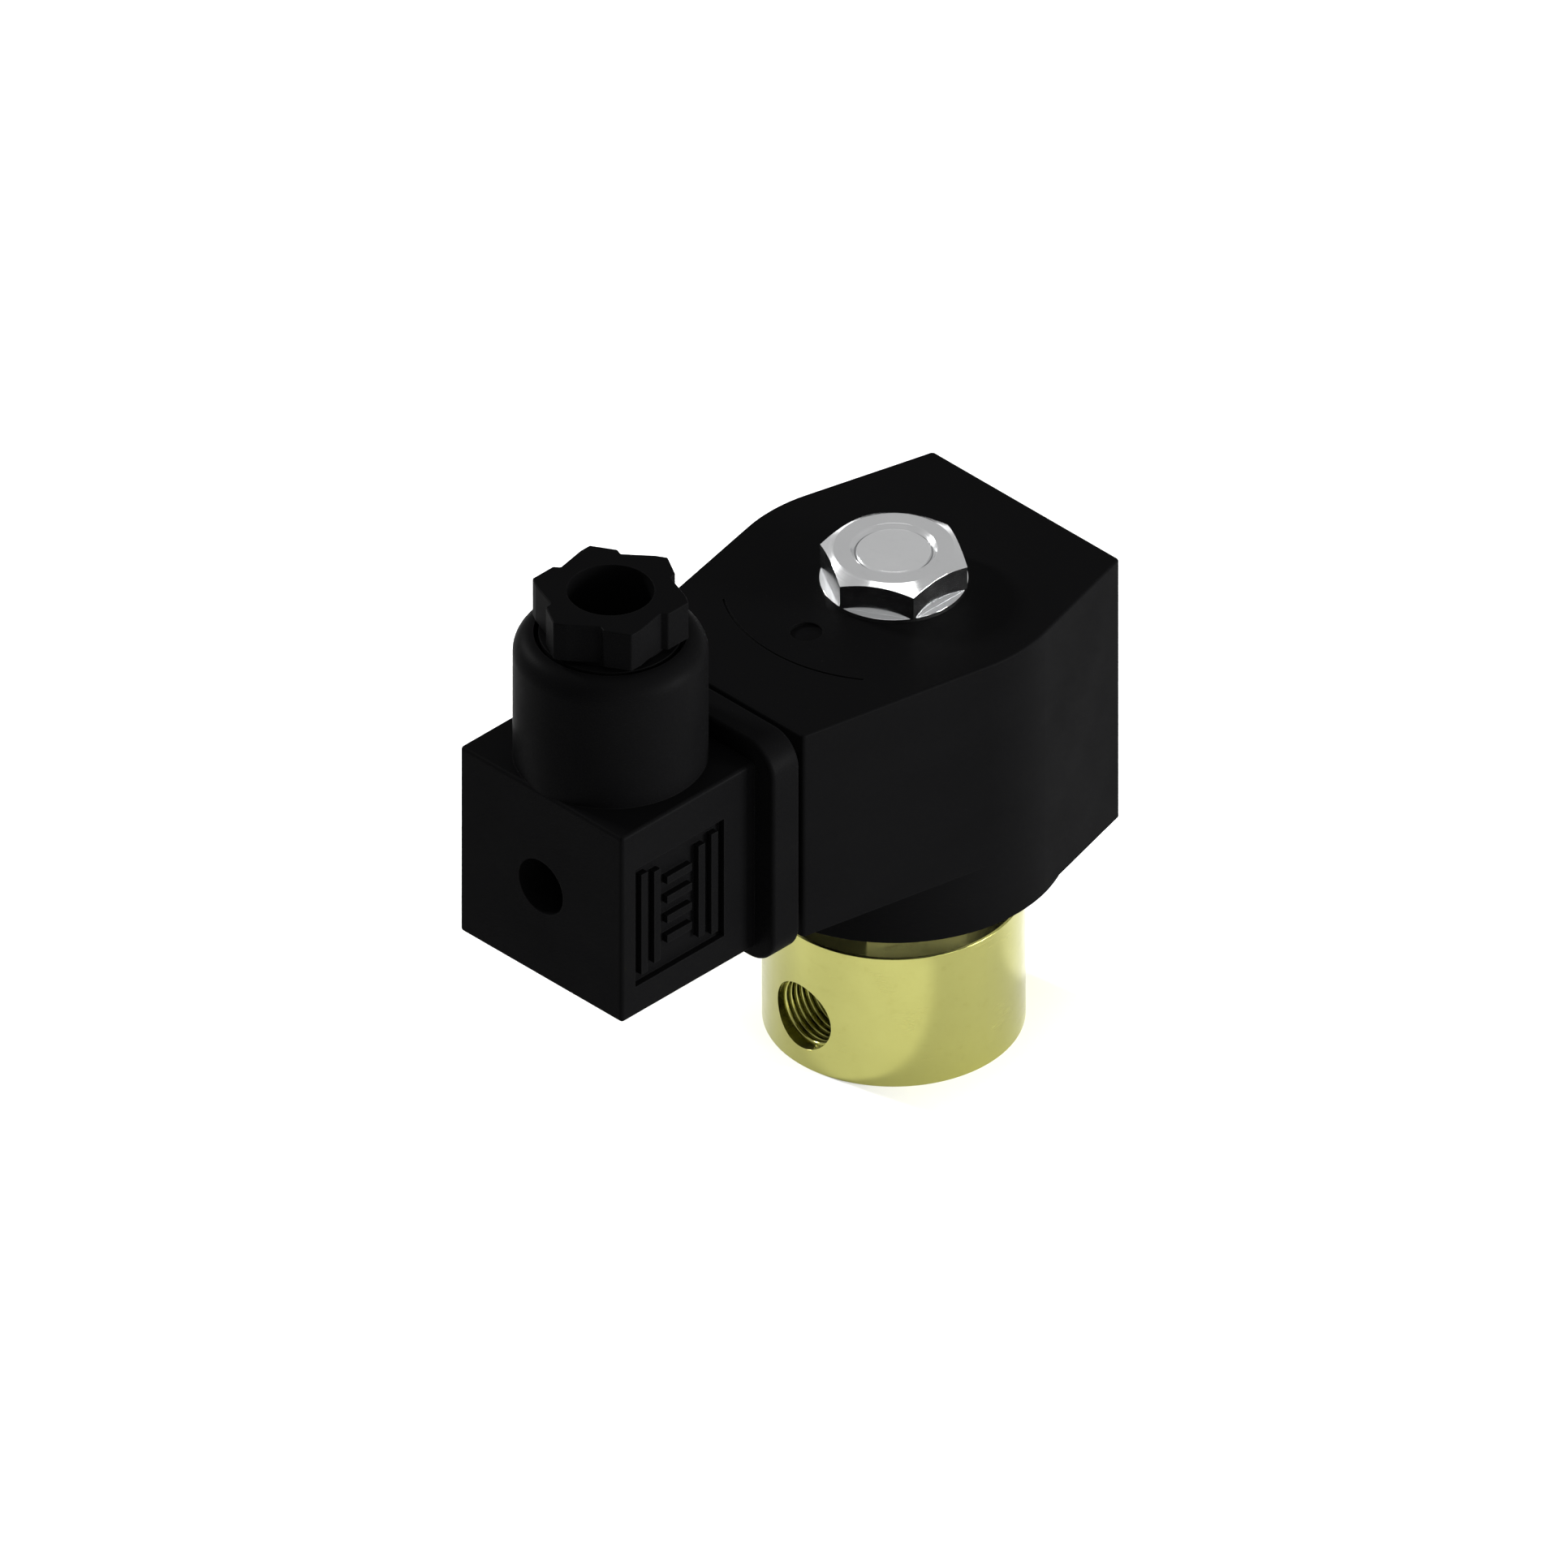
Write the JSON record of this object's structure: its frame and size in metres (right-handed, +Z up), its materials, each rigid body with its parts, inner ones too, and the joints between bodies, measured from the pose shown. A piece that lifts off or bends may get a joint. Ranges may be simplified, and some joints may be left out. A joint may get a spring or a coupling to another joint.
{
  "type": "solenoid valve",
  "caption": "Small direct-acting solenoid valve: round brass body with threaded ports, black moulded coil held by a hex nut, square plug connector with a cable gland.",
  "frame": {"origin": "centre of the brass body's base face, on the valve's axis", "axes": "+Z up along the valve's axis, ports along Y with the inlet on -Y, connector on the -Y side"},
  "size_m": [0.0424, 0.0832, 0.0867],
  "materials": {
    "brass_body": "turned, light satin",
    "stainless": "turned",
    "plated_steel": "bright zinc plate",
    "core_steel": "ground",
    "copper": "bare copper",
    "winding_copper": "enamelled copper",
    "coil_plastic": "black moulded, fine grain",
    "plug_plastic": "black moulded polyamide",
    "insert_plastic": "dark grey moulded",
    "bobbin_plastic": "natural glass-filled",
    "tape": "polyester tape",
    "rubber_black": "moulded rubber",
    "rubber_seat": "ground elastomer",
    "contact_metal": "tinned brass",
    "contact_brass": "bright brass"
  },
  "bodies": {
    "valve": {"valve_body": "brass_body", "armature_tube": "stainless", "fixed_core": "core_steel", "shading_ring": "copper", "tube_o_ring": "rubber_black", "coil_lower_seal": "rubber_black"},
    "plunger": {"plunger": "core_steel", "plunger_seal": "rubber_seat", "plunger_spring": "stainless"},
    "coil": {"coil_housing": "coil_plastic", "yoke_frame": "plated_steel", "coil_bobbin": "bobbin_plastic", "coil_winding": "winding_copper", "winding_tape": "tape", "power_blades": "contact_metal", "earth_blade": "contact_metal", "screw_insert": "contact_brass"},
    "coil_washer": {"coil_washer": "plated_steel"},
    "coil_nut": {"coil_nut": "plated_steel"},
    "connector": {"connector_housing": "plug_plastic", "terminal_block": "insert_plastic", "terminal_sockets": "contact_brass", "terminal_screws": "plated_steel", "connector_gasket": "rubber_black", "gland_grommet": "rubber_black"},
    "gland_washer": {"gland_washer": "plated_steel"},
    "gland_nut": {"gland_nut": "plug_plastic"},
    "screw_seal": {"screw_seal": "rubber_black"},
    "fixing_screw": {"fixing_screw": "plated_steel"}
  },
  "joints": [
    {"name": "plunger_lift", "type": "slide", "parent": "valve", "child": "plunger", "axis": [0, 0, 1], "range_m": [0, 0.0018], "stiffness_N_per_m": 400, "springref_m": -0.004, "deforming": ["plunger_spring"]},
    {"name": "coil_swivel", "type": "hinge", "parent": "valve", "child": "coil", "pos_m": [0, 0, 0.044], "axis": [0, 0, 1], "continuous": true},
    {"name": "coil_washer_rise", "type": "slide", "parent": "valve", "child": "coil_washer", "axis": [0, 0, 1], "range_m": [0, 0.004]},
    {"name": "coil_nut_turn", "type": "hinge", "parent": "coil_washer", "child": "coil_nut", "pos_m": [0, 0, 0.066], "axis": [0, 0, 1], "range_deg": [0, 1440]},
    {"name": "connector_pull", "type": "slide", "parent": "coil", "child": "connector", "axis": [0, -1, 0], "range_m": [0, 0.013]},
    {"name": "gland_washer_rise", "type": "slide", "parent": "connector", "child": "gland_washer", "axis": [0, 0, 1], "range_m": [0, 0.00564]},
    {"name": "gland_nut_turn", "type": "hinge", "parent": "gland_washer", "child": "gland_nut", "pos_m": [0, -0.04855, 0.08], "axis": [0, 0, 1], "range_deg": [0, 1440]},
    {"name": "screw_seal_travel", "type": "slide", "parent": "connector", "child": "screw_seal", "axis": [0, -1, 0], "range_m": [0, 0.0045]},
    {"name": "fixing_screw_turn", "type": "hinge", "parent": "screw_seal", "child": "fixing_screw", "pos_m": [0, -0.054, 0.0486], "axis": [0, -1, 0], "range_deg": [0, 3240]}
  ],
  "couplings": [
    {"joint": "coil_nut_turn", "follows": "coil_washer_rise", "rad_per_m": 6283.2},
    {"joint": "gland_nut_turn", "follows": "gland_washer_rise", "rad_per_m": 4456.2},
    {"joint": "fixing_screw_turn", "follows": "screw_seal_travel", "rad_per_m": 12566}
  ]
}
